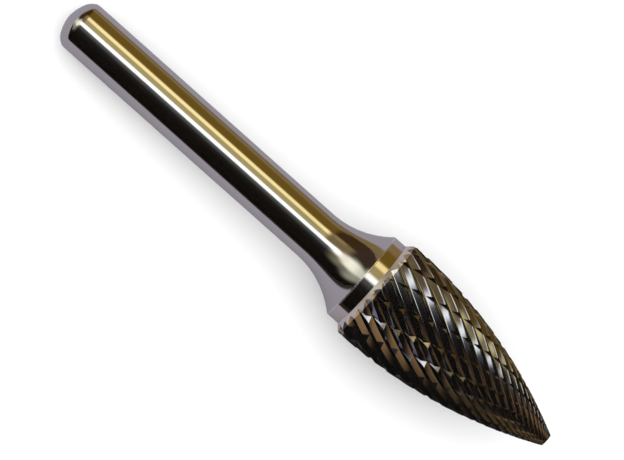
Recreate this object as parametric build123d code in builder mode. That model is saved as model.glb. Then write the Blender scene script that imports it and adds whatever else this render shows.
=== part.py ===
from build123d import *
from math import asin, atan, atanh, cos, radians, sin, sqrt, tan, tanh
import os

# Double-cut carbide burr, pointed tree shape, 12.7 x 25 mm head on a 6 mm shank.
# All lengths are in millimetres. The burr lies on its side on the floor, z = 0: the lower
# corner of the shank end and two teeth at the back of the head touch it.

# Catalogue sizes
overall_length = 70.0
shank_diameter = 6.0
head_diameter = 12.7
cut_length = 25.0

# Shank end
end_chamfer_length = 1.0
end_chamfer_width = 0.85
end_dome_height = 0.85

# Flare from the shank to the brazed joint
joint_diameter = 11.1
flare_radius = 10.0
braze_thickness = 0.12
braze_step = 0.04

# Unfluted band behind the teeth; a 45 degree shoulder leads from it up to the teeth
band_diameter = joint_diameter + 0.1
band_length = 1.5

# A short cylinder, then the ogive of the cutting head down to a flat tip
cylinder_length = 0.64
tip_flat_diameter = 1.5

# Primary flutes: right-hand helix of constant angle, right-hand cut
flute_count = 26
flute_slope = 0.56
flute_depth = 0.58
rake_lean = 0.12

# Secondary chip-breaker grooves: left-hand helix of constant angle
breaker_count = 15
breaker_slope = 0.34
breaker_depth = 0.42
breaker_front = 0.12
breaker_back = 1.13
breaker_lead = 15.9
breaker_end_radius = 2.8

# Number of steps between the sections that the helices are lofted through
flute_steps = 40
breaker_steps = 10

# Sizes that follow
shank_radius = shank_diameter / 2
joint_radius = joint_diameter / 2
band_radius = band_diameter / 2
head_radius = head_diameter / 2
tip_radius = tip_flat_diameter / 2
flute_pitch = 360 / flute_count
breaker_pitch = 360 / breaker_count
teeth_start = overall_length - cut_length
shoulder_start = teeth_start - (head_radius - band_radius)
band_start = shoulder_start - band_length
braze_start = band_start - braze_thickness

# The ogive arc leaves the cylinder parallel to the axis and ends at the tip flat
ogive_length = cut_length - cylinder_length
ogive_start = overall_length - ogive_length
ogive_drop = head_radius - tip_radius
ogive_radius = (ogive_length**2 + ogive_drop**2) / (2 * ogive_drop)
arc_offset = ogive_radius - head_radius
arc_sum = ogive_radius + arc_offset
arc_root = sqrt(ogive_radius**2 - arc_offset**2)

# The flare arc leaves the shank parallel to the axis and ends at the joint
flare_rise = joint_radius - shank_radius
flare_length = sqrt(flare_radius**2 - (flare_radius - flare_rise) ** 2)
flare_start = braze_start - flare_length

# Rest attitude: the bottom lies midway between two teeth, the origin under the middle
rest_radius = head_radius * cos(radians(flute_pitch / 2))
rest_corner = end_dome_height + end_chamfer_length
rest_tilt = atan((rest_radius - shank_radius) / (teeth_start - rest_corner))
axis_height = shank_radius * cos(rest_tilt) - rest_corner * sin(rest_tilt)
shank_end = (-overall_length * cos(rest_tilt) / 2, 0, axis_height)
axis_direction = (cos(rest_tilt), 0, sin(rest_tilt))
up_direction = (-sin(rest_tilt), 0, cos(rest_tilt))
tool_plane = Plane(origin=shank_end, x_dir=up_direction, z_dir=axis_direction)
profile_plane = Plane(origin=shank_end, x_dir=axis_direction, z_dir=(0, -1, 0))
tool_axis = Axis(origin=shank_end, direction=axis_direction)


def polar(radius, angle):
    return (radius * cos(angle), radius * sin(angle))


# Progress along the ogive arc to a given crest radius
def progress_to(crest):
    arc_angle = asin(sqrt(ogive_radius**2 - (arc_offset + crest) ** 2) / ogive_radius)
    return 2 * atanh(arc_sum * tan(arc_angle / 2) / arc_root)


# Position, crest radius and turn of a helix of unit slope, at a progress along the arc
def arc_station(progress):
    arc_angle = 2 * atan(arc_root * tanh(progress / 2) / arc_sum)
    position = ogive_start + ogive_radius * sin(arc_angle)
    crest = ogive_radius * cos(arc_angle) - arc_offset
    return (position, crest, arc_angle + arc_offset / arc_root * progress)


# The same on the cylinder behind the arc
def back_station(position):
    return (position, head_radius, (position - ogive_start) / head_radius)


back_stations = [back_station(shoulder_start - 0.1), back_station(teeth_start)]
turn_at_start = back_stations[1][2]
flute_step = progress_to(tip_radius) / flute_steps
breaker_step = progress_to(breaker_end_radius) / breaker_steps
flute_stations = back_stations + [arc_station(flute_step * k) for k in range(flute_steps + 1)]
breaker_stations = [back_station(shoulder_start - 0.1)]
breaker_stations += [arc_station(breaker_step * k) for k in range(breaker_steps + 1)]

os.makedirs("parts", exist_ok=True)

with BuildPart() as steel_shank:
    # Shank with a chamfered, slightly domed end and a flare up to the joint
    with BuildSketch(profile_plane):
        with BuildLine():
            dome_edge = (end_dome_height, shank_radius - end_chamfer_width)
            dome_middle = (end_dome_height * 0.27, dome_edge[1] * 0.6)
            ThreePointArc((0, 0), dome_middle, dome_edge)
            chamfer_edge = (end_dome_height + end_chamfer_length, shank_radius)
            Line(dome_edge, chamfer_edge)
            Line(chamfer_edge, (flare_start, shank_radius))
            RadiusArc((flare_start, shank_radius), (braze_start, joint_radius), -flare_radius)
            Polyline((braze_start, joint_radius), (braze_start, 0), (0, 0))
        make_face()
    revolve(axis=tool_axis)

with BuildPart() as braze_joint:
    # Thin disc of braze metal between the steel and the carbide
    with BuildSketch(tool_plane.offset(braze_start)):
        Circle(joint_radius + braze_step)
    extrude(amount=braze_thickness)

with BuildPart() as breaker_cutter:
    # One chip-breaker groove: steep wall towards the shank, gentle wall towards the tip
    for position, crest, turn in breaker_stations:
        scale = crest / head_radius
        bottom = radians(breaker_lead) - breaker_slope * (turn - turn_at_start)
        front = bottom - 1.5 * breaker_front / head_radius
        back = bottom + 1.5 * breaker_back / head_radius
        low = crest - breaker_depth * scale
        high = crest + 0.5 * breaker_depth * scale
        with BuildSketch(tool_plane.offset(position)):
            with BuildLine():
                Polyline(polar(low, bottom), polar(high, back), polar(high, front), close=True)
            make_face()
    loft()

with BuildPart() as carbide_head:
    # Ring of saw teeth turned along the helix: cutting edge, rake face, back slope
    for position, crest, turn in flute_stations:
        root = crest - flute_depth * crest / head_radius
        first_edge = radians(flute_pitch / 2) + flute_slope * (turn - turn_at_start)
        corners = []
        for tooth in range(flute_count):
            edge = first_edge + radians(flute_pitch * tooth)
            rake_foot = edge + rake_lean / head_radius
            corners.append(polar(crest, edge))
            corners.append(polar(root, rake_foot))
        with BuildSketch(tool_plane.offset(position)):
            with BuildLine():
                Polyline(*corners, close=True)
            make_face()
    loft()
    # Chip-breaker grooves that split every cutting edge into separate teeth
    for groove in range(breaker_count):
        add(breaker_cutter.part.rotate(tool_axis, breaker_pitch * groove), mode=Mode.SUBTRACT)
    # Shoulder at the back of the teeth
    with BuildSketch(profile_plane):
        with BuildLine():
            outside = head_radius + 1
            Polyline(
                (shoulder_start, 0),
                (shoulder_start, band_radius),
                (shoulder_start + outside - band_radius, outside),
                (overall_length + 1, outside),
                (overall_length + 1, 0),
                close=True,
            )
        make_face()
    revolve(axis=tool_axis, mode=Mode.INTERSECT)
    # Unfluted band against the joint
    with BuildSketch(tool_plane.offset(band_start)):
        Circle(band_radius)
    extrude(amount=band_length)

steel_shank.part.label = "steel_shank"
export_step(steel_shank.part, "parts/steel_shank.step")
braze_joint.part.label = "braze_joint"
export_step(braze_joint.part, "parts/braze_joint.step")
carbide_head.part.label = "carbide_head"
export_step(carbide_head.part, "parts/carbide_head.step")
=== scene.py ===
"""Carbide burr: a double-cut pointed tree head on a polished steel shank."""

import math

import bpy
from mathutils import Matrix, Vector


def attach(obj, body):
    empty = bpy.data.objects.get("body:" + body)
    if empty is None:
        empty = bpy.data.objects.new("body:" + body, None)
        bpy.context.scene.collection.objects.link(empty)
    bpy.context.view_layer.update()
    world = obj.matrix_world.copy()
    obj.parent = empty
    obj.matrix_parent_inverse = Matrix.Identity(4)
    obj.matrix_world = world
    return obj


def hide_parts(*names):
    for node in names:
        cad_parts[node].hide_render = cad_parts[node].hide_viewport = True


bl_info = {
    "name": "Carbide Burr",
    "version": (1, 0, 0),
    "blender": (4, 5, 0),
    "location": "3D View > Sidebar > Burr",
    "description": "Builds a double-cut carbide burr lying on a pale floor",
    "category": "Add Mesh",
}

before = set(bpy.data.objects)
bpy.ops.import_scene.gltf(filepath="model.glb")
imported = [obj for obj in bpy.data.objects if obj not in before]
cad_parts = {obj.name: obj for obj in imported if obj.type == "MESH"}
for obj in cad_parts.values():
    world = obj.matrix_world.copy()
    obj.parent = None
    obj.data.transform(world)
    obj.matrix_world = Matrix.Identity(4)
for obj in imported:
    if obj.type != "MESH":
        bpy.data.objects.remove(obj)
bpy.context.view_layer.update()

MM = 0.001
FLUTES = 26
FLUTE_PITCH = 360 / FLUTES
BREAKERS = 15

# Tooth form across one pitch, from cutting edge to cutting edge: share of the columns, of the pitch
# and of the depth. The back falls away over six tenths of the pitch, then a steeper face climbs.
TOOTH = (
    (0.0, 0, 0),
    (0.083, 0.04, 0.16),
    (0.167, 0.1, 0.29),
    (0.25, 0.18, 0.42),
    (0.333, 0.27, 0.56),
    (0.417, 0.36, 0.695),
    (0.5, 0.45, 0.82),
    (0.583, 0.53, 0.93),
    (0.667, 0.58, 0.985),
    (0.75, 0.62, 1),
    (0.833, 0.7, 0.83),
    (0.917, 0.85, 0.45),
    (1.0, 1, 0),
)
TOOTH_SPREAD = [(share, spread) for share, spread, _ in TOOTH]
TOOTH_FORM = [(share, deep) for share, _, deep in TOOTH]

# Rounded and chamfered shank end: shares of its length and of the shank's radius.
END_FORM = [
    *((0, 0), (0.007, 0.1), (0.028, 0.2), (0.06, 0.3), (0.103, 0.4), (0.158, 0.5), (0.222, 0.6)),
    *((0.29, 0.69), (0.35, 0.75), (0.43, 0.81), (0.51, 0.86), (0.6, 0.907), (0.7, 0.95)),
    *((0.79, 0.978), (0.87, 0.992), (0.94, 0.997), (1.02, 1)),
]

# How finely the pieces are divided, where points join, and where edges are sharp
SEGMENTS = 256
SHANK_STEPS = 24
FLARE_STEPS = 40
TOOTH_ROWS = 150
TOOTH_COLUMNS = 12
PROFILE_POINTS = 8
WHOLE_TOLERANCE = 0.5
JOIN_DISTANCE = 5e-7
CUTTER_JOIN_DISTANCE = 1e-7
TURNED_SHARP_EDGE = math.radians(15)
HEAD_SHARP_EDGE = math.radians(22)

# Small sizes; the braze rises over a share of its thickness, and a cutter is wider than its groove
BAND_STEP = 0.05 * MM
BAND_BEVEL = 0.04 * MM
BRAZE_PROUD = 0.03 * MM
BRAZE_RISE_SHARE = 0.3
BLANK_CLEARANCE = 1 * MM
TIP_OVERRUN = 0.25 * MM
BAND_OVERRUN = 0.3 * MM
BAND_ZONE_START = 0.1 * MM
ZONE_OVERLAP = 0.02 * MM
CUTTER_REACH = 1.5

# Added roughness and colour of the plain band and of the shoulder; the roughness is the grinding's
# own, the pale colour is a painted sheen on the same carbide
BAND_SMOOTHING_AND_PAINTED_SHEEN = (-0.07, (0.66, 0.62, 0.56))
SHOULDER_DULLING_AND_PAINTED_SHEEN = (0.2, (0.85, 0.8, 0.72))

# Fine marks in the metals
MARK_DETAIL = 3.0
MARK_ROUGHNESS = 0.6
MARK_RANGE = (0.3, 0.7)
MARK_HEIGHT = 1e-5

# Camera: turns of the view in degrees, aim along the burr and across it, distance, and lens in mm
VIEW_ROLL = 10.32
VIEW_PITCH = 2.4
VIEW_TURN = 41.7
AIM_ALONG = 35.37 * MM
AIM_ACROSS = 0.14 * MM
CAMERA_DISTANCE = 0.43
SENSOR_WIDTH = 36
LENS = 226.45

# Studio: what all other rays see, and what polished metal sees between the patches of light
SURROUND = (1.25, 1.25, 1.25)
DARK = (0.005, 0.003, 0.002)
SOFTBOX_SIZE = 0.9
SOFTBOX_POWER = 1.5
SOFTBOX_HEIGHT = 0.8

# Floor as polished metal mirrors it: a painted shadow in an ellipse under the head, and beyond it a
# band of painted warm light and a band of painted shade
FLOOR_REACH = 3.0
FLOOR_ROUGHNESS = 0.9
HEAD_SHADOW_CENTRE = (50 * MM, 0, 0)
HEAD_SHADOW_SIZE = (43 * MM, 110 * MM, 1)
HEAD_SHADOW_EDGE = (0.72, 1.0)
HEAD_SHADOW_COLOUR = (0.014, 0.012, 0.014)
FLOOR_LIGHT_AND_SHADE_BANDS = (
    # A band of painted warm light
    (24 * MM, 34 * MM, (0.21, 0.135, 0.03)),
    # A band of painted shade
    (-40 * MM, -60 * MM, (0.006, 0.004, 0.003)),
)


# ---------------------------------------------------------------- settings


class BurrSizes(bpy.types.PropertyGroup):
    """Main sizes of the burr"""

    overall: bpy.props.FloatProperty(
        name="Overall length",
        description="From the shank end to the tip",
        default=70 * MM,
        unit="LENGTH",
    )
    shank_radius: bpy.props.FloatProperty(
        name="Shank radius", description="Radius of the steel shank", default=3 * MM, unit="LENGTH"
    )
    head_radius: bpy.props.FloatProperty(
        name="Head radius",
        description="Largest radius over the teeth",
        default=6.35 * MM,
        unit="LENGTH",
    )
    cut_length: bpy.props.FloatProperty(
        name="Cut length", description="Length of the toothed head", default=25 * MM, unit="LENGTH"
    )
    cylinder: bpy.props.FloatProperty(
        name="Cylinder",
        description="Straight length before the ogive",
        default=0.64 * MM,
        unit="LENGTH",
    )
    tip_radius: bpy.props.FloatProperty(
        name="Tip radius", description="Radius of the flat tip", default=0.75 * MM, unit="LENGTH"
    )
    joint_radius: bpy.props.FloatProperty(
        name="Joint radius",
        description="Radius of the flare at the joint",
        default=5.55 * MM,
        unit="LENGTH",
    )
    band_length: bpy.props.FloatProperty(
        name="Band length",
        description="Plain band behind the teeth",
        default=1.5 * MM,
        unit="LENGTH",
    )
    braze: bpy.props.FloatProperty(
        name="Braze", description="Thickness of the braze line", default=0.12 * MM, unit="LENGTH"
    )
    flare_radius: bpy.props.FloatProperty(
        name="Flare radius",
        description="Hollow radius of the flare",
        default=10 * MM,
        unit="LENGTH",
    )
    end_chamfer: bpy.props.FloatVectorProperty(
        name="End chamfer",
        description="Length and width of the chamfer at the shank end",
        default=(1.0 * MM, 0.85 * MM),
        size=2,
        unit="LENGTH",
    )
    end_dome: bpy.props.FloatProperty(
        name="End dome",
        description="Height of the domed shank end",
        default=0.85 * MM,
        unit="LENGTH",
    )


class BurrTeeth(bpy.types.PropertyGroup):
    """Flutes and chip breakers"""

    flutes: bpy.props.IntProperty(
        name="Flutes", description="Number of right-hand flutes", default=FLUTES, min=3
    )
    flute_slope: bpy.props.FloatProperty(
        name="Flute slope", description="Tangent of the flute's helix angle", default=0.56
    )
    flute_depth: bpy.props.FloatProperty(
        name="Flute depth",
        description="Depth at the largest radius",
        default=0.5 * MM,
        unit="LENGTH",
    )
    breakers: bpy.props.IntProperty(
        name="Chip breakers", description="Number of left-hand grooves", default=BREAKERS, min=3
    )
    breaker_slope: bpy.props.FloatProperty(
        name="Breaker slope", description="Tangent of the breaker's helix angle", default=0.34
    )
    breaker_depth: bpy.props.FloatProperty(
        name="Breaker depth",
        description="Depth at the largest radius",
        default=0.45 * MM,
        unit="LENGTH",
    )
    breaker_front: bpy.props.FloatProperty(
        name="Breaker front", description="Width of the steep wall", default=0.1 * MM, unit="LENGTH"
    )
    breaker_back: bpy.props.FloatProperty(
        name="Breaker back",
        description="Width of the gentle wall",
        default=0.66 * MM,
        unit="LENGTH",
    )
    breaker_lead: bpy.props.FloatProperty(
        name="Breaker lead",
        description="Angle of the first groove at the back of the teeth",
        default=math.radians(15.9),
        subtype="ANGLE",
    )


class BurrFinish(bpy.types.PropertyGroup):
    """Colours of the metals and the floor, and the floor's painted shade as metal mirrors it"""

    steel: bpy.props.FloatVectorProperty(
        name="Steel",
        description="Polished shank steel",
        default=(0.6, 0.585, 0.56),
        subtype="COLOR",
    )
    carbide: bpy.props.FloatVectorProperty(
        name="Carbide",
        description="Ground tungsten carbide",
        default=(0.3, 0.3, 0.312),
        subtype="COLOR",
    )
    braze: bpy.props.FloatVectorProperty(
        name="Braze", description="Silver braze line", default=(0.86, 0.83, 0.74), subtype="COLOR"
    )
    floor: bpy.props.FloatVectorProperty(
        name="Floor", description="Pale floor", default=(0.93, 0.93, 0.93), subtype="COLOR"
    )
    # Painted shade: the floor turns a darker lilac grey where metal mirrors it
    mirrored_floor_shade: bpy.props.FloatVectorProperty(
        name="Mirrored floor shade",
        description="Floor as the metal mirrors it",
        default=(0.33, 0.31, 0.37),
        subtype="COLOR",
    )


def settings():
    """Sizes, teeth and finish of the open scene."""
    scene = bpy.context.scene
    return scene.burr_sizes, scene.burr_teeth, scene.burr_finish


# ---------------------------------------------------------------- tool frame


def tool_matrix(sizes):
    """Placement of a burr made along +X from the shank end, lying on two neighbouring teeth."""
    corner = sizes.end_dome + sizes.end_chamfer[0]
    rest_radius = sizes.head_radius * math.cos(math.radians(FLUTE_PITCH / 2))
    teeth_start = sizes.overall - sizes.cut_length
    tilt = math.atan((rest_radius - sizes.shank_radius) / (teeth_start - corner))
    height = sizes.shank_radius * math.cos(tilt) - corner * math.sin(tilt)
    place = Matrix.Translation((-sizes.overall * math.cos(tilt) / 2, 0, height))
    return place @ Matrix.Rotation(-tilt, 4, "Y")


def lengths(sizes):
    """Stations along the axis, from the shank end, in metres."""
    band_radius = sizes.joint_radius + BAND_STEP
    at = {"teeth": sizes.overall - sizes.cut_length}
    at["shoulder"] = at["teeth"] - (sizes.head_radius - band_radius)
    at["band"] = at["shoulder"] - sizes.band_length
    at["braze"] = at["band"] - sizes.braze
    rise = sizes.joint_radius - sizes.shank_radius
    at["flare"] = at["braze"] - math.sqrt(sizes.flare_radius**2 - (sizes.flare_radius - rise) ** 2)
    arc_length = sizes.cut_length - sizes.cylinder
    drop = sizes.head_radius - sizes.tip_radius
    at["arc"] = sizes.overall - arc_length
    at["arc_radius"] = (arc_length**2 + drop**2) / (2 * drop)
    at["band_radius"] = band_radius
    return at


# ---------------------------------------------------------------- node helpers


class Nodes:
    """Small writer for a geometry node tree."""

    def __init__(self, name):
        self.tree = bpy.data.node_groups.new(name, "GeometryNodeTree")
        self.tree.is_modifier = True

    def value(self, name, kind, default=None):
        socket = self.tree.interface.new_socket(name=name, in_out="INPUT", socket_type=kind)
        if default is not None:
            socket.default_value = default

    def start(self):
        self.inputs = self.tree.nodes.new("NodeGroupInput")

    def get(self, name):
        return self.inputs.outputs[name]

    def node(self, kind, **settings):
        made = self.tree.nodes.new(kind)
        for key, value in settings.items():
            setattr(made, key, value)
        return made

    def link(self, source, target):
        self.tree.links.new(source, target)

    def feed(self, target, source):
        if hasattr(source, "is_output"):
            self.link(source, target)
        else:
            target.default_value = source

    def math(self, operation, *terms):
        made = self.node("ShaderNodeMath", operation=operation)
        for index, term in enumerate(terms):
            self.feed(made.inputs[index], term)
        return made.outputs[0]

    def add(self, first, *rest):
        total = first
        for term in rest:
            total = self.math("ADD", total, term)
        return total

    def sub(self, a, b):
        return self.math("SUBTRACT", a, b)

    def mul(self, first, *rest):
        total = first
        for term in rest:
            total = self.math("MULTIPLY", total, term)
        return total

    def div(self, a, b):
        return self.math("DIVIDE", a, b)

    def curve(self, value, points):
        """Straight lines through points from 0 to 1."""
        made = self.node("ShaderNodeFloatCurve")
        self.feed(made.inputs["Value"], value)
        line = made.mapping.curves[0]
        line.points[0].location = points[0]
        line.points[1].location = points[-1]
        for x, y in points[1:-1]:
            line.points.new(x, y)
        for point in line.points:
            point.handle_type = "VECTOR"
        made.mapping.update()
        return made.outputs[0]

    def vector(self, x, y, z):
        made = self.node("ShaderNodeCombineXYZ")
        for index, term in enumerate((x, y, z)):
            self.feed(made.inputs[index], term)
        return made.outputs[0]

    def grid(self, columns, rows):
        """Sheet of points whose place counts columns and rows from zero."""
        made = self.node("GeometryNodeMeshGrid")
        self.feed(made.inputs["Vertices X"], columns)
        self.feed(made.inputs["Vertices Y"], rows)
        self.feed(made.inputs["Size X"], self.sub(columns, 1.0))
        self.feed(made.inputs["Size Y"], self.sub(rows, 1.0))
        place = self.node("GeometryNodeInputPosition").outputs[0]
        split = self.node("ShaderNodeSeparateXYZ")
        self.link(place, split.inputs[0])
        counts = []
        for index, total in enumerate((columns, rows)):
            middle = self.mul(self.sub(total, 1.0), 0.5)
            counts.append(self.math("ROUND", self.add(split.outputs[index], middle)))
        return made.outputs["Mesh"], *counts

    def place(self, mesh, position):
        made = self.node("GeometryNodeSetPosition")
        self.link(mesh, made.inputs["Geometry"])
        self.link(position, made.inputs["Position"])
        return made.outputs["Geometry"]

    def merge(self, mesh, distance):
        made = self.node("GeometryNodeMergeByDistance")
        self.link(mesh, made.inputs["Geometry"])
        made.inputs["Distance"].default_value = distance
        return made.outputs["Geometry"]

    def finish(self, mesh, smooth_angle):
        """Shade, turn into the tool's place, realize and give the material."""
        smooth = self.node("GeometryNodeSetShadeSmooth", domain="FACE")
        self.link(mesh, smooth.inputs["Geometry"])
        smooth.inputs["Shade Smooth"].default_value = True
        angle = self.node("GeometryNodeInputMeshEdgeAngle").outputs["Unsigned Angle"]
        sharp = self.node("FunctionNodeCompare", data_type="FLOAT", operation="GREATER_THAN")
        self.link(angle, sharp.inputs[0])
        sharp.inputs[1].default_value = smooth_angle
        edges = self.node("GeometryNodeSetShadeSmooth", domain="EDGE")
        self.link(smooth.outputs[0], edges.inputs["Geometry"])
        self.link(sharp.outputs[0], edges.inputs["Selection"])
        edges.inputs["Shade Smooth"].default_value = False
        turn = self.node("GeometryNodeTransform")
        self.link(edges.outputs[0], turn.inputs["Geometry"])
        self.link(self.get("Tool Place"), turn.inputs["Translation"])
        self.link(self.get("Tool Turn"), turn.inputs["Rotation"])
        real = self.node("GeometryNodeRealizeInstances")
        self.link(turn.outputs[0], real.inputs[0])
        material = self.node("GeometryNodeSetMaterial")
        self.link(real.outputs[0], material.inputs["Geometry"])
        self.link(self.get("Material"), material.inputs["Material"])
        kind = "NodeSocketGeometry"
        self.tree.interface.new_socket(name="Geometry", in_out="OUTPUT", socket_type=kind)
        out = self.tree.nodes.new("NodeGroupOutput")
        self.link(material.outputs[0], out.inputs[0])
        return self.tree


def tool_inputs(nodes):
    nodes.value("Tool Place", "NodeSocketVector")
    nodes.value("Tool Turn", "NodeSocketRotation")
    nodes.value("Material", "NodeSocketMaterial")


def run_tree(name, tree, profile, values, material):
    """Evaluate a tree on a profile line and keep the result as a plain mesh."""
    sizes = settings()[0]
    line = bpy.data.meshes.new(name + "_profile")
    edges = [(index, index + 1) for index in range(len(profile) - 1)]
    line.from_pydata([(x, y, 0) for x, y in profile], edges, [])
    piece = bpy.data.objects.new(name, line)
    bpy.context.scene.collection.objects.link(piece)
    modifier = piece.modifiers.new(name, "NODES")
    modifier.node_group = tree
    place = tool_matrix(sizes)
    values = dict(values)
    values["Tool Place"] = place.to_translation()
    values["Tool Turn"] = place.to_euler()
    values["Material"] = material
    for item in tree.interface.items_tree:
        if item.item_type == "SOCKET" and item.in_out == "INPUT" and item.name in values:
            modifier[item.identifier] = values[item.name]
    graph = bpy.context.evaluated_depsgraph_get()
    mesh = bpy.data.meshes.new_from_object(piece.evaluated_get(graph), depsgraph=graph)
    mesh.name = name
    piece.modifiers.remove(modifier)
    piece.data = mesh
    bpy.data.meshes.remove(line)
    if not mesh.polygons:
        raise RuntimeError(name + " came out empty")
    return piece


# ---------------------------------------------------------------- lathe tree


def turned(nodes, profile, points, segments):
    """Turn a profile line, x along the axis and y the radius, into a closed solid."""
    sheet, column, row = nodes.grid(nodes.add(segments, 1.0), points)
    sample = nodes.node("GeometryNodeSampleIndex", data_type="FLOAT_VECTOR", domain="POINT")
    nodes.link(profile, sample.inputs["Geometry"])
    nodes.link(nodes.node("GeometryNodeInputPosition").outputs[0], sample.inputs["Value"])
    nodes.link(row, sample.inputs["Index"])
    split = nodes.node("ShaderNodeSeparateXYZ")
    nodes.link(sample.outputs[0], split.inputs[0])
    angle = nodes.mul(nodes.div(column, segments), -2 * math.pi)
    y = nodes.mul(split.outputs[1], nodes.math("SINE", angle))
    z = nodes.mul(split.outputs[1], nodes.math("COSINE", angle))
    placed = nodes.place(sheet, nodes.vector(split.outputs[0], y, z))
    return nodes.merge(placed, JOIN_DISTANCE)


def lathe_tree():
    """A profile line turned into a solid."""
    nodes = Nodes("Turned piece")
    nodes.value("Geometry", "NodeSocketGeometry")
    nodes.value("Points", "NodeSocketInt", PROFILE_POINTS)
    nodes.value("Segments", "NodeSocketInt", SEGMENTS)
    tool_inputs(nodes)
    nodes.start()
    solid = turned(nodes, nodes.get("Geometry"), nodes.get("Points"), nodes.get("Segments"))
    return nodes.finish(solid, TURNED_SHARP_EDGE)


# ---------------------------------------------------------------- toothed head tree


def helix_station(nodes, progress, inputs):
    """Position, crest radius and turn of a unit helix at a progress along the head."""
    offset = nodes.sub(inputs["Arc Radius"], inputs["Head Radius"])
    total = nodes.add(inputs["Arc Radius"], offset)
    squares = nodes.mul(inputs["Arc Radius"], inputs["Arc Radius"]), nodes.mul(offset, offset)
    root = nodes.math("SQRT", nodes.sub(*squares))
    scale = nodes.add(nodes.div(root, total), nodes.div(offset, root))
    along = nodes.div(nodes.math("MAXIMUM", progress, 0.0), scale)
    back = nodes.math("MINIMUM", progress, 0.0)
    slope = nodes.div(nodes.mul(root, nodes.math("TANH", nodes.mul(along, 0.5))), total)
    arc = nodes.mul(nodes.math("ARCTANGENT", slope), 2.0)
    x = nodes.add(
        inputs["Arc Start"],
        nodes.mul(inputs["Arc Radius"], nodes.math("SINE", arc)),
        nodes.mul(inputs["Head Radius"], back),
    )
    crest = nodes.sub(nodes.mul(inputs["Arc Radius"], nodes.math("COSINE", arc)), offset)
    turn = nodes.add(arc, nodes.mul(nodes.div(offset, root), along), back)
    return x, crest, turn


def row_progress(nodes, row, rows, low, high):
    """Progress of a row; the first and last rows close the ends on the axis."""
    inner = nodes.math("MAXIMUM", nodes.math("MINIMUM", row, nodes.sub(rows, 2.0)), 1.0)
    share = nodes.div(nodes.sub(inner, 1.0), nodes.sub(rows, 3.0))
    progress = nodes.add(low, nodes.mul(share, nodes.sub(high, low)))
    shut = nodes.math("COMPARE", row, inner, WHOLE_TOLERANCE)
    return progress, shut


def wrapped(nodes, sheet, x, radius, angle, join_distance):
    """Wrap a sheet round the axis by its own place, radius and angle."""
    y = nodes.mul(radius, nodes.math("SINE", angle), -1.0)
    z = nodes.mul(radius, nodes.math("COSINE", angle))
    return nodes.merge(nodes.place(sheet, nodes.vector(x, y, z)), join_distance)


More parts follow.
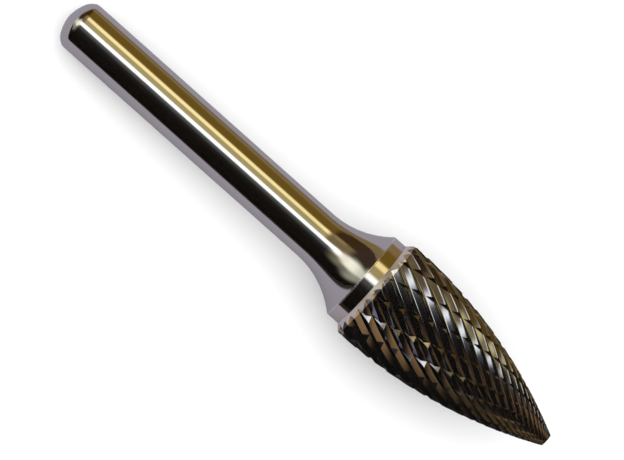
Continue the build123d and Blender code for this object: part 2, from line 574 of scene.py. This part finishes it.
def head_tree():
    """Ring of teeth, trimmed by a turned blank and cut across by chip breakers."""
    nodes = Nodes("Double cut head")
    nodes.value("Geometry", "NodeSocketGeometry")
    for name in ("Head Radius", "Arc Radius", "Arc Start", "Start Turn", "Low", "High"):
        nodes.value(name, "NodeSocketFloat")
    nodes.value("Rows", "NodeSocketInt", TOOTH_ROWS)
    nodes.value("Flutes", "NodeSocketInt", FLUTES)
    nodes.value("Columns", "NodeSocketInt", TOOTH_COLUMNS)
    for name in ("Flute Slope", "Flute Depth"):
        nodes.value(name, "NodeSocketFloat")
    nodes.value("Breakers", "NodeSocketInt", BREAKERS)
    for name in ("Breaker Slope", "Breaker Depth", "Breaker Front", "Breaker Back", "Breaker Lead"):
        nodes.value(name, "NodeSocketFloat")
    nodes.value("Profile Points", "NodeSocketInt", PROFILE_POINTS)
    nodes.value("Segments", "NodeSocketInt", SEGMENTS)
    tool_inputs(nodes)
    nodes.start()
    get = nodes.get
    inputs = {name: get(name) for name in ("Head Radius", "Arc Radius", "Arc Start")}
    pitch = nodes.div(2 * math.pi, get("Flutes"))

    # Ring of teeth, each through the same columns from its cutting edge to the next
    columns = nodes.add(nodes.mul(get("Flutes"), get("Columns")), 1.0)
    # One more line of points than rows, and a line at each end to close it
    rows = nodes.add(get("Rows"), 3.0)
    sheet, column, row = nodes.grid(columns, rows)
    progress, shut = row_progress(nodes, row, rows, get("Low"), get("High"))
    x, crest, turn = helix_station(nodes, progress, inputs)
    tooth = nodes.math("FLOOR", nodes.div(nodes.add(column, 0.5), get("Columns")))
    step = nodes.sub(column, nodes.mul(tooth, get("Columns")))
    share = nodes.div(step, get("Columns"))
    deep = nodes.math("MINIMUM", nodes.curve(share, TOOTH_FORM), 1.0)
    across = nodes.mul(pitch, nodes.curve(share, TOOTH_SPREAD))
    depth = nodes.div(get("Flute Depth"), get("Head Radius"))
    radius = nodes.mul(crest, nodes.sub(1.0, nodes.mul(depth, deep)), shut)
    lead = nodes.mul(get("Flute Slope"), nodes.sub(turn, get("Start Turn")))
    angle = nodes.add(nodes.mul(pitch, nodes.add(tooth, 0.5)), across, lead)
    teeth = wrapped(nodes, sheet, x, radius, angle, JOIN_DISTANCE)

    # Blank: band, shoulder and tip, which trims the ring of teeth
    blank = turned(nodes, get("Geometry"), get("Profile Points"), get("Segments"))
    trim = nodes.node("GeometryNodeMeshBoolean", operation="INTERSECT", solver="MANIFOLD")
    nodes.link(teeth, trim.inputs["Mesh 2"])
    nodes.link(blank, trim.inputs["Mesh 2"])

    # Chip-breaker grooves: one cutter, whose walls run on past the crest, set round the axis
    sheet, column, row = nodes.grid(4, rows)
    progress, shut = row_progress(nodes, row, rows, get("Low"), get("High"))
    x, crest, turn = helix_station(nodes, progress, inputs)
    wide_back = nodes.div(nodes.mul(get("Breaker Back"), CUTTER_REACH), get("Head Radius"))
    wide_front = nodes.div(nodes.mul(get("Breaker Front"), -CUTTER_REACH), get("Head Radius"))
    is_front = nodes.math("COMPARE", column, 1.0, WHOLE_TOLERANCE)
    is_back = nodes.math("COMPARE", column, 2.0, WHOLE_TOLERANCE)
    raised = nodes.add(is_back, is_front)
    depth = nodes.div(get("Breaker Depth"), get("Head Radius"))
    height = nodes.sub(nodes.mul(raised, nodes.mul(depth, CUTTER_REACH)), depth)
    centre = nodes.sub(1.0, shut)
    radius = nodes.mul(crest, nodes.add(1.0, height))
    lead = nodes.mul(get("Breaker Slope"), nodes.sub(turn, get("Start Turn")))
    width = nodes.add(nodes.mul(is_back, wide_back), nodes.mul(is_front, wide_front))
    spread = nodes.mul(width, shut)
    angle = nodes.add(nodes.sub(get("Breaker Lead"), lead), spread)
    radius = nodes.add(nodes.mul(radius, shut), nodes.mul(crest, centre))
    cutter = wrapped(nodes, sheet, x, radius, angle, CUTTER_JOIN_DISTANCE)
    count = nodes.node("GeometryNodePoints")
    nodes.link(get("Breakers"), count.inputs["Count"])
    order = nodes.node("GeometryNodeInputIndex").outputs[0]
    set_round = nodes.mul(nodes.div(order, get("Breakers")), 2 * math.pi)
    copies = nodes.node("GeometryNodeInstanceOnPoints")
    nodes.link(count.outputs[0], copies.inputs["Points"])
    nodes.link(cutter, copies.inputs["Instance"])
    nodes.link(nodes.vector(set_round, 0.0, 0.0), copies.inputs["Rotation"])
    cutters = nodes.node("GeometryNodeRealizeInstances")
    nodes.link(copies.outputs[0], cutters.inputs[0])
    cut = nodes.node("GeometryNodeMeshBoolean", operation="DIFFERENCE", solver="MANIFOLD")
    nodes.link(trim.outputs[0], cut.inputs["Mesh 1"])
    nodes.link(cutters.outputs[0], cut.inputs["Mesh 2"])
    return nodes.finish(cut.outputs[0], HEAD_SHARP_EDGE)


# ---------------------------------------------------------------- materials


def wire(tree, kind, inputs=(), **options):
    """Add a shader node, set its options, and feed its inputs from sockets or plain values."""
    made = tree.nodes.new(kind)
    for key, value in options.items():
        setattr(made, key, value)
    for key, value in dict(inputs).items():
        if hasattr(value, "is_output"):
            tree.links.new(value, made.inputs[key])
        else:
            made.inputs[key].default_value = value
    return made


def wire_math(tree, operation, *terms):
    """Result of one sum in a shader tree."""
    return wire(tree, "ShaderNodeMath", enumerate(terms), operation=operation).outputs[0]


def wire_mix(tree, factor, first, second):
    """Mix of two colours, each a socket or three plain numbers."""
    pair = [term if hasattr(term, "is_output") else (*term, 1) for term in (first, second)]
    inputs = {"Factor": factor, "A": pair[0], "B": pair[1]}
    return wire(tree, "ShaderNodeMix", inputs, data_type="RGBA").outputs["Result"]


def wire_step(tree, value, low, high):
    """Soft step from 0 at low to 1 at high."""
    inputs = {"Value": value, "From Min": low, "From Max": high}
    return wire(tree, "ShaderNodeMapRange", inputs, interpolation_type="SMOOTHSTEP").outputs[0]


def shader_group_tool_space(sizes):
    """Object place turned so that X runs along the burr's axis."""
    name = "Tool space"
    if name in bpy.data.node_groups:
        return bpy.data.node_groups[name]
    group = bpy.data.node_groups.new(name, "ShaderNodeTree")
    sockets = (
        ("Around Scale", "INPUT", "NodeSocketFloat"),
        ("Along Scale", "INPUT", "NodeSocketFloat"),
        ("Around", "OUTPUT", "NodeSocketVector"),
        ("Axial", "OUTPUT", "NodeSocketFloat"),
    )
    for label, way, kind in sockets:
        group.interface.new_socket(name=label, in_out=way, socket_type=kind)
    put, out = group.nodes.new("NodeGroupInput"), group.nodes.new("NodeGroupOutput")
    coords = group.nodes.new("ShaderNodeTexCoord")
    place = tool_matrix(sizes).inverted()
    inputs = {
        "Vector": coords.outputs["Object"],
        "Location": place.to_translation(),
        "Rotation": place.to_euler(),
    }
    mapping = wire(group, "ShaderNodeMapping", inputs, vector_type="POINT")
    split = wire(group, "ShaderNodeSeparateXYZ", {0: mapping.outputs[0]})
    parts = []
    for index, scale in enumerate(("Along Scale", "Around Scale", "Around Scale")):
        parts.append(wire_math(group, "MULTIPLY", split.outputs[index], put.outputs[scale]))
    joined = wire(group, "ShaderNodeCombineXYZ", enumerate(parts))
    group.links.new(joined.outputs[0], out.inputs["Around"])
    group.links.new(split.outputs[0], out.inputs["Axial"])
    return group


def metal(name, colour, roughness, spread, around, along, bump, zones=()):
    """Ground metal with fine marks, by their scale around and along the axis.

    Each zone is a stretch of the axis with its start, end, added roughness and colour; that colour
    is a paler painted sheen over the metal's own.
    """
    material = bpy.data.materials.new(name)
    material.use_nodes = True
    tree = material.node_tree
    shader = tree.nodes["Principled BSDF"]
    shader.inputs["Base Color"].default_value = (*colour, 1)
    shader.inputs["Metallic"].default_value = 1.0
    group = shader_group_tool_space(settings()[0])
    scales = {"Around Scale": around, "Along Scale": along}
    space = wire(tree, "ShaderNodeGroup", scales, node_tree=group)
    inputs = {"Vector": space.outputs["Around"], "Scale": 1.0}
    inputs.update({"Detail": MARK_DETAIL, "Roughness": MARK_ROUGHNESS})
    marks = wire(tree, "ShaderNodeTexNoise", inputs).outputs["Fac"]
    inputs = {"Value": marks, "From Min": MARK_RANGE[0], "From Max": MARK_RANGE[1]}
    inputs.update({"To Min": roughness - spread, "To Max": roughness + spread})
    dull = wire(tree, "ShaderNodeMapRange", inputs).outputs[0]
    shade = colour
    # Each zone adds its roughness and mixes in its pale colour, a painted sheen
    for start, end, added, lighter in zones:
        middle, reach = (start + end) / 2, (end - start) / 2
        within = wire_math(tree, "COMPARE", space.outputs["Axial"], middle, reach)
        dull = wire_math(tree, "MULTIPLY_ADD", within, added, dull)
        shade = wire_mix(tree, within, shade, lighter)
    if zones:
        tree.links.new(shade, shader.inputs["Base Color"])
    tree.links.new(dull, shader.inputs["Roughness"])
    inputs = {"Strength": bump, "Distance": MARK_HEIGHT, "Height": marks}
    relief = wire(tree, "ShaderNodeBump", inputs)
    tree.links.new(relief.outputs[0], shader.inputs["Normal"])
    return material


# ---------------------------------------------------------------- pieces


def arc_points(centre, radius, start, end, steps):
    """Points of a profile arc, by angle in radians from +x."""
    cx, cy = centre
    turn = [start + (end - start) * k / steps for k in range(steps + 1)]
    return [(cx + radius * math.cos(a), cy + radius * math.sin(a)) for a in turn]


class BURR_OT_shank(bpy.types.Operator):
    """Polished steel shank with its domed end and flare"""

    bl_idname = "burr.shank"
    bl_label = "Steel shank"

    def execute(self, context):
        sizes, _, finish = settings()
        at = lengths(sizes)
        corner = sizes.end_dome + sizes.end_chamfer[0]
        profile = [(x * corner, y * sizes.shank_radius) for x, y in END_FORM]
        straight = at["flare"] - corner
        for k in range(2, SHANK_STEPS):
            profile.append((corner + straight * k / SHANK_STEPS, sizes.shank_radius))
        sweep = math.asin((at["braze"] - at["flare"]) / sizes.flare_radius)
        centre = (at["flare"], sizes.shank_radius + sizes.flare_radius)
        start = -math.pi / 2
        profile += arc_points(centre, sizes.flare_radius, start, start + sweep, FLARE_STEPS)
        profile.append((at["braze"], 0))
        steel = metal(
            "Polished shank steel",
            finish.steel,
            roughness=0.08,
            spread=0.025,
            around=900,
            along=24000,
            bump=0.1,
        )
        values = {"Points": len(profile), "Segments": SEGMENTS}
        piece = run_tree("Shank", lathe_tree(), profile, values, steel)
        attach(piece, "root")
        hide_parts("steel_shank")
        return {"FINISHED"}


class BURR_OT_braze(bpy.types.Operator):
    """Thin bright braze line between the steel and the carbide"""

    bl_idname = "burr.braze"
    bl_label = "Braze line"

    def execute(self, context):
        sizes, _, finish = settings()
        at = lengths(sizes)
        radius = sizes.joint_radius + BRAZE_PROUD
        profile = [(at["braze"], 0), (at["braze"], sizes.joint_radius)]
        profile += [(at["braze"] + sizes.braze * BRAZE_RISE_SHARE, radius)]
        profile += [(at["band"], radius), (at["band"], 0)]
        braze = metal(
            "Silver braze",
            finish.braze,
            roughness=0.25,
            spread=0.08,
            around=1500,
            along=9000,
            bump=0.2,
        )
        values = {"Points": len(profile), "Segments": SEGMENTS}
        piece = run_tree("Braze", lathe_tree(), profile, values, braze)
        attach(piece, "root")
        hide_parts("braze_joint")
        return {"FINISHED"}


class BURR_OT_head(bpy.types.Operator):
    """Double-cut carbide head"""

    bl_idname = "burr.head"
    bl_label = "Carbide head"

    def execute(self, context):
        sizes, teeth, finish = settings()
        at = lengths(sizes)
        outside = sizes.head_radius + BLANK_CLEARANCE
        profile = [
            (at["band"], 0),
            (at["band"], at["band_radius"] - BAND_BEVEL),
            (at["band"] + BAND_BEVEL, at["band_radius"]),
            (at["shoulder"], at["band_radius"]),
            (at["shoulder"] + outside - at["band_radius"], outside),
            (sizes.overall, outside),
            (sizes.overall, 0),
        ]
        offset = at["arc_radius"] - sizes.head_radius
        total = at["arc_radius"] + offset
        root = math.sqrt(at["arc_radius"] ** 2 - offset**2)
        scale = root / total + offset / root
        arc_length = sizes.cut_length - sizes.cylinder + TIP_OVERRUN
        end = math.asin(arc_length / at["arc_radius"])
        high = scale * 2 * math.atanh(total * math.tan(end / 2) / root)
        low = (at["band"] - BAND_OVERRUN - at["arc"]) / sizes.head_radius
        values = {
            "Head Radius": sizes.head_radius,
            "Arc Radius": at["arc_radius"],
            "Arc Start": at["arc"],
            "Start Turn": (at["teeth"] - at["arc"]) / sizes.head_radius,
            "Low": low,
            "High": high,
            "Rows": TOOTH_ROWS,
            "Flutes": teeth.flutes,
            "Columns": TOOTH_COLUMNS,
            "Flute Slope": teeth.flute_slope,
            "Flute Depth": teeth.flute_depth,
            "Breakers": teeth.breakers,
            "Breaker Slope": teeth.breaker_slope,
            "Breaker Depth": teeth.breaker_depth,
            "Breaker Front": teeth.breaker_front,
            "Breaker Back": teeth.breaker_back,
            "Breaker Lead": teeth.breaker_lead,
            "Profile Points": len(profile),
            "Segments": SEGMENTS,
        }
        # The band and shoulder get added roughness and a pale colour, a painted sheen on the
        # carbide
        band_end = at["shoulder"] - ZONE_OVERLAP
        zones = (
            (at["band"] - BAND_ZONE_START, band_end, *BAND_SMOOTHING_AND_PAINTED_SHEEN),
            (band_end, at["teeth"] + ZONE_OVERLAP, *SHOULDER_DULLING_AND_PAINTED_SHEEN),
        )
        carbide = metal(
            "Ground carbide",
            finish.carbide,
            roughness=0.14,
            spread=0.035,
            around=9000,
            along=9000,
            bump=0.03,
            zones=zones,
        )
        piece = run_tree("Head", head_tree(), profile, values, carbide)
        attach(piece, "root")
        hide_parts("carbide_head")
        return {"FINISHED"}


# ---------------------------------------------------------------- stage


def view_frame(sizes):
    """Axis, facing and side directions of the burr as the camera sees it."""
    place = tool_matrix(sizes).to_3x3()
    axis = place @ Vector((1, 0, 0))
    up = place @ Vector((0, 0, 1))
    roll = math.radians(VIEW_ROLL)
    facing = up * math.cos(roll) - Vector((0, 1, 0)) * math.sin(roll)
    side = facing.cross(axis)
    return axis, facing, side


def look_matrix(origin, right, up, back):
    """Camera placement from its place and three directions."""
    return Matrix(
        (
            (right.x, up.x, back.x, origin.x),
            (right.y, up.y, back.y, origin.y),
            (right.z, up.z, back.z, origin.z),
            (0, 0, 0, 1),
        )
    )


def patch_group():
    """Soft-edged patch of light between two angles across and two leans along the axis."""
    group = bpy.data.node_groups.new("Light patch", "ShaderNodeTree")
    for name in ("Across", "Lean", "Left", "Right", "Back", "Front", "Softness"):
        group.interface.new_socket(name=name, in_out="INPUT", socket_type="NodeSocketFloat")
    group.interface.new_socket(name="Mask", in_out="OUTPUT", socket_type="NodeSocketFloat")
    put, out = group.nodes.new("NodeGroupInput"), group.nodes.new("NodeGroupOutput")

    def inside(*names):
        value, low, high = (put.outputs[name] for name in names)
        rise = wire_math(group, "SUBTRACT", value, low)
        fall = wire_math(group, "SUBTRACT", high, value)
        gap = wire_math(group, "MINIMUM", rise, fall)
        outer = wire_math(group, "MULTIPLY", put.outputs["Softness"], -1.0)
        return wire_step(group, gap, outer, put.outputs["Softness"])

    across = inside("Across", "Left", "Right")
    along = inside("Lean", "Back", "Front")
    group.links.new(wire_math(group, "MULTIPLY", across, along), out.inputs["Mask"])
    return group


# Patches of the studio as polished metal sees it: left, right, back, front and softness in degrees,
# and colour. Left and right are angles round the burr, from the camera to the high side; back and
# front lean towards the tip. Later patches lie over earlier ones.
LIGHT_PATCHES = [
    ("Tip side brown", -18, 32, 20, 54, 14, (0.66, 0.39, 0.17)),
    ("Gold glint", -98, -80, 27, 34, 3, (1.6, 1.2, 0.6)),
    ("Tip end", -180, 180, 66, 90, 8, (0.19, 0.13, 0.045)),
    ("Brown card", 54, 180, -14, 6, 3.5, (0.21, 0.124, 0.014)),
    ("Dark brown", 54, 180, -46, -12, 5, (0.06, 0.032, 0.008)),
    ("Brown end", 92, 180, -16, 6, 8, (0.33, 0.25, 0.14)),
    ("Flare shade", 30, 106, -80, -40, 9, (0.057, 0.034, 0.024)),
    ("Deep shade", -30, 2, -34, 6, 9, (0.016, 0.012, 0.01)),
    ("Grey shade", -10, 3, -34, 6, 9, (0.13, 0.14, 0.155)),
    ("Tan card", 14, 56, -44, 4, 5, (0.27, 0.19, 0.09)),
    ("Tan card bright", 14, 42, -8, 5, 4, (0.6, 0.5, 0.24)),
    ("Gold strip", 38, 52, -8, 5, 4, (1.7, 1.4, 0.66)),
    ("Gold strip low", 44, 56, -30, -12, 5, (0.42, 0.28, 0.14)),
    ("Window foot", -180, 180, -98, -78, 7, (0.85, 0.82, 0.66)),
    ("Window foot bright", -25, 70, -98, -80, 8, (1.4, 1.36, 1.15)),
    ("Window edge", -50, 36, -80, -50, 10, (0.42, 0.42, 0.34)),
    ("Grey wedge", -34, 10, -56, -26, 11, (0.25, 0.23, 0.15)),
    ("Window wide", -18, 28, -84, -54, 10, (0.95, 0.97, 0.82)),
    ("Window low", -14, 24, -66, -42, 9, (1.5, 1.46, 1.25)),
    ("Window top", -4, 18, -48, -24, 7, (1.4, 1.35, 1.2)),
    ("White strip", 3.3, 15.5, -34, 5, 5, (2.7, 2.76, 2.75)),
]


def studio(sizes):
    """White surround; polished metal sees soft patches of light in the dark."""
    world = bpy.data.worlds.new("Studio")
    world.use_nodes = True
    tree = world.node_tree
    coords = tree.nodes.new("ShaderNodeTexCoord")
    axis, facing, side = view_frame(sizes)

    def share(direction):
        inputs = {0: coords.outputs["Generated"], 1: direction}
        dot = wire(tree, "ShaderNodeVectorMath", inputs, operation="DOT_PRODUCT")
        return dot.outputs["Value"]

    turn = wire_math(tree, "ARCTAN2", share(side), share(facing))
    across = wire_math(tree, "DEGREES", turn)
    lean = wire_math(tree, "DEGREES", wire_math(tree, "ARCSINE", share(axis)))
    group = patch_group()
    shade = DARK
    for name, left, right, back, front, softness, colour in LIGHT_PATCHES:
        inputs = {"Across": across, "Lean": lean, "Left": left, "Right": right}
        inputs.update({"Back": back, "Front": front, "Softness": softness})
        patch = wire(tree, "ShaderNodeGroup", inputs, node_tree=group, label=name)
        shade = wire_mix(tree, patch.outputs["Mask"], shade, colour)
    path = tree.nodes.new("ShaderNodeLightPath")
    seen = wire_mix(tree, path.outputs["Is Glossy Ray"], SURROUND, shade)
    tree.links.new(seen, tree.nodes["Background"].inputs["Color"])
    return world


def floor_paint(finish):
    """Pale floor; as polished metal mirrors it, the floor is darkened with painted shade, with a
    painted shadow under the head and bands of painted warm light and painted shade.
    """
    paint = bpy.data.materials.new("Pale floor")
    paint.use_nodes = True
    tree = paint.node_tree
    shader = tree.nodes["Principled BSDF"]
    shader.inputs["Roughness"].default_value = FLOOR_ROUGHNESS
    coords = tree.nodes.new("ShaderNodeTexCoord")
    place = coords.outputs["Object"]
    for operation, vector in (("SUBTRACT", HEAD_SHADOW_CENTRE), ("DIVIDE", HEAD_SHADOW_SIZE)):
        moved = wire(tree, "ShaderNodeVectorMath", {0: place, 1: vector}, operation=operation)
        place = moved.outputs[0]
    far = wire(tree, "ShaderNodeVectorMath", {0: place}, operation="LENGTH").outputs["Value"]
    # Painted shadow under the head, fading out into the floor's painted shade
    seen = wire_mix(tree, wire_step(tree, far, *HEAD_SHADOW_EDGE), HEAD_SHADOW_COLOUR, finish.mirrored_floor_shade)
    split = wire(tree, "ShaderNodeSeparateXYZ", {0: coords.outputs["Object"]})
    # Bands of painted warm light and painted shade beyond it
    for near, edge, colour in FLOOR_LIGHT_AND_SHADE_BANDS:
        beyond = wire_step(tree, split.outputs["Y"], near, edge)
        seen = wire_mix(tree, beyond, seen, colour)
    # Only glossy rays see the painted shade and light; all other rays see the even pale floor
    path = tree.nodes.new("ShaderNodeLightPath")
    base = wire_mix(tree, path.outputs["Is Glossy Ray"], finish.floor, seen)
    tree.links.new(base, shader.inputs["Base Color"])
    return paint


class BURR_OT_stage(bpy.types.Operator):
    """Pale floor, soft lights and camera"""

    bl_idname = "burr.stage"
    bl_label = "Stage"

    def execute(self, context):
        sizes, _, finish = settings()
        floor_mesh = bpy.data.meshes.new("Floor")
        signs = ((-1, -1), (1, -1), (1, 1), (-1, 1))
        corners = [(x * FLOOR_REACH, y * FLOOR_REACH, 0) for x, y in signs]
        floor_mesh.from_pydata(corners, [], [(0, 1, 2, 3)])
        floor = bpy.data.objects.new("Floor", floor_mesh)
        context.scene.collection.objects.link(floor)
        floor_mesh.materials.append(floor_paint(finish))

        context.scene.world = studio(sizes)
        context.scene.view_settings.view_transform = "Standard"
        softbox = bpy.data.lights.new("Overhead softbox", "AREA")
        softbox.size = SOFTBOX_SIZE
        softbox.energy = SOFTBOX_POWER
        overhead = bpy.data.objects.new("Overhead softbox", softbox)
        overhead.location = (0, 0, SOFTBOX_HEIGHT)
        overhead.visible_camera = False
        overhead.visible_glossy = False
        context.scene.collection.objects.link(overhead)

        axis, facing, side = view_frame(sizes)
        pitch = math.radians(VIEW_PITCH)
        back = facing * math.cos(pitch) - axis * math.sin(pitch)
        ahead = axis * math.cos(pitch) + facing * math.sin(pitch)
        turn = math.radians(VIEW_TURN)
        right = ahead * math.cos(turn) + side * math.sin(turn)
        up = side * math.cos(turn) - ahead * math.sin(turn)
        target = tool_matrix(sizes).to_translation() + axis * AIM_ALONG + side * AIM_ACROSS
        camera_data = bpy.data.cameras.new("Camera")
        camera_data.sensor_width = SENSOR_WIDTH
        camera_data.lens = LENS
        camera = bpy.data.objects.new("Camera", camera_data)
        context.scene.collection.objects.link(camera)
        camera.matrix_world = look_matrix(target + back * CAMERA_DISTANCE, right, up, back)
        context.scene.camera = camera
        return {"FINISHED"}


# ---------------------------------------------------------------- panel


class BURR_PT_panel(bpy.types.Panel):
    """Burr settings and builders"""

    bl_idname = "BURR_PT_panel"
    bl_label = "Carbide burr"
    bl_space_type = "VIEW_3D"
    bl_region_type = "UI"
    bl_category = "Burr"

    def draw(self, context):
        for group in settings():
            box = self.layout.box()
            for key in group.__annotations__:
                box.prop(group, key)
        for operator in OPERATORS:
            self.layout.operator(operator.bl_idname)


GROUPS = (BurrSizes, BurrTeeth, BurrFinish)
OPERATORS = (BURR_OT_shank, BURR_OT_braze, BURR_OT_head, BURR_OT_stage)


def register():
    for cls in (*GROUPS, *OPERATORS, BURR_PT_panel):
        bpy.utils.register_class(cls)
    bpy.types.Scene.burr_sizes = bpy.props.PointerProperty(type=BurrSizes)
    bpy.types.Scene.burr_teeth = bpy.props.PointerProperty(type=BurrTeeth)
    bpy.types.Scene.burr_finish = bpy.props.PointerProperty(type=BurrFinish)


def unregister():
    del bpy.types.Scene.burr_sizes
    del bpy.types.Scene.burr_teeth
    del bpy.types.Scene.burr_finish
    for cls in reversed((*GROUPS, *OPERATORS, BURR_PT_panel)):
        bpy.utils.unregister_class(cls)


def main():
    register()
    bpy.ops.burr.shank()
    bpy.ops.burr.braze()
    bpy.ops.burr.head()
    bpy.ops.burr.stage()


if __name__ == "__main__":
    main()
